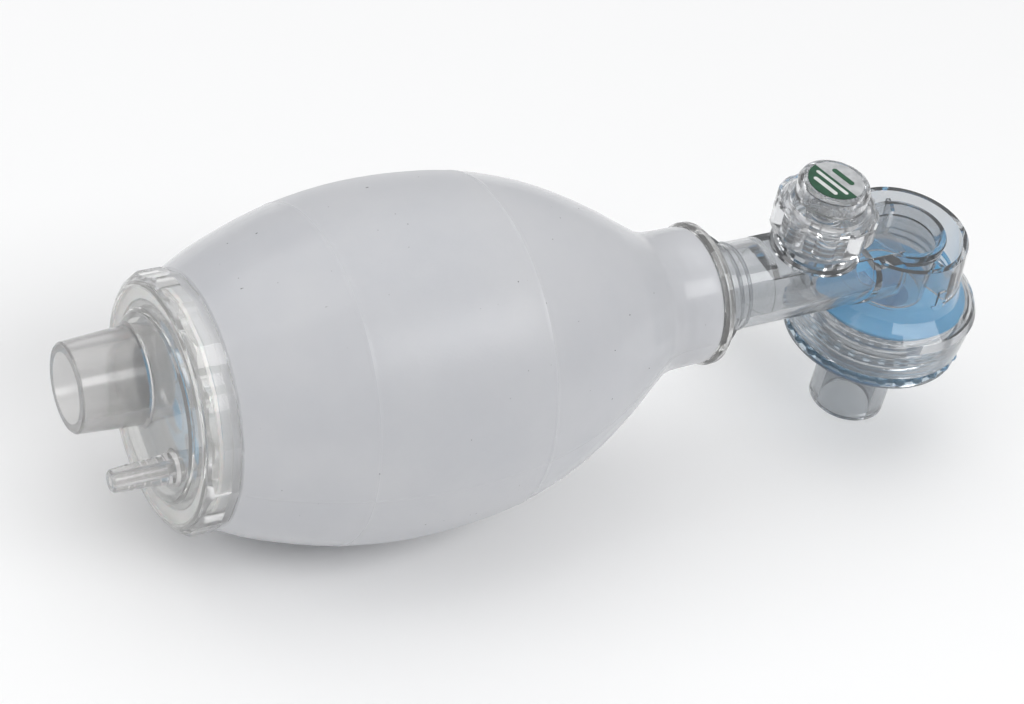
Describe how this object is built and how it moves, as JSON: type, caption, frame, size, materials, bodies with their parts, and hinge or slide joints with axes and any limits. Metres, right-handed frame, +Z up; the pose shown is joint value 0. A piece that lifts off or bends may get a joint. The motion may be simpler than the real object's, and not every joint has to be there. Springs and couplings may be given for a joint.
{
  "type": "bag valve mask",
  "caption": "Hand-squeezed resuscitator: oval silicone bag, air intake end, swivelling patient valve with exhalation port, and a pressure relief valve.",
  "frame": {"origin": "centre of the bounding box, on the table that the bag's belly and the patient port's rim stand on", "axes": "+X along the bag towards the patient valve, +Z up, the patient port pointing down"},
  "size_m": [0.2692, 0.093, 0.0934],
  "materials": {
    "bag_silicone": "satin, milky silicone",
    "clear_plastic": "clear, polished",
    "blue_silicone": "satin, blue silicone",
    "gasket_rubber": "satin",
    "spring_steel": "drawn wire",
    "silver_foil": "satin foil",
    "green_print": "satin print"
  },
  "bodies": {
    "bag_assembly": {"squeeze_bag": "bag_silicone", "intake_retaining_ring": "clear_plastic", "intake_cover": "clear_plastic", "reservoir_port": "clear_plastic", "oxygen_nipple": "clear_plastic", "intake_gasket": "gasket_rubber", "intake_valve_seat": "clear_plastic", "neck_collar": "clear_plastic"},
    "squeeze_panel": {"squeeze_panel": "bag_silicone"},
    "intake_flap": {"intake_flap": "blue_silicone"},
    "patient_valve": {"valve_body": "clear_plastic", "valve_base": "clear_plastic", "patient_port": "clear_plastic", "swivel_o_ring": "gasket_rubber", "swivel_clip": "clear_plastic", "relief_turret": "clear_plastic", "relief_knob": "clear_plastic", "relief_cap": "clear_plastic", "relief_spring": "spring_steel", "label_silver": "silver_foil", "label_green": "green_print"},
    "fish_mouth": {"fish_mouth_disc": "blue_silicone"},
    "relief_poppet": {"relief_poppet": "clear_plastic", "relief_seal": "blue_silicone"}
  },
  "joints": [
    {"name": "bag_squeeze", "type": "slide", "parent": "bag_assembly", "child": "squeeze_panel", "axis": [0.0628, 0, -0.998], "range_m": [0, 0.02], "stiffness_N_per_m": 700, "springref_m": -0.0008},
    {"name": "intake_flap_open", "type": "slide", "parent": "bag_assembly", "child": "intake_flap", "axis": [0.998, 0, 0.0628], "range_m": [0, 0.0015], "stiffness_N_per_m": 60, "springref_m": -0.0003},
    {"name": "valve_swivel", "type": "hinge", "parent": "bag_assembly", "child": "patient_valve", "pos_m": [0.03692, 0, 0.05215], "axis": [0.998, 0, 0.0628], "continuous": true},
    {"name": "fish_mouth_lift", "type": "slide", "parent": "patient_valve", "child": "fish_mouth", "axis": [-0.0628, 0, 0.998], "range_m": [0, 0.0009]},
    {"name": "relief_lift", "type": "slide", "parent": "patient_valve", "child": "relief_poppet", "axis": [-0.0628, 0, 0.998], "range_m": [0, 0.0018], "stiffness_N_per_m": 300, "springref_m": -0.00125, "deforming": ["relief_spring"]}
  ]
}
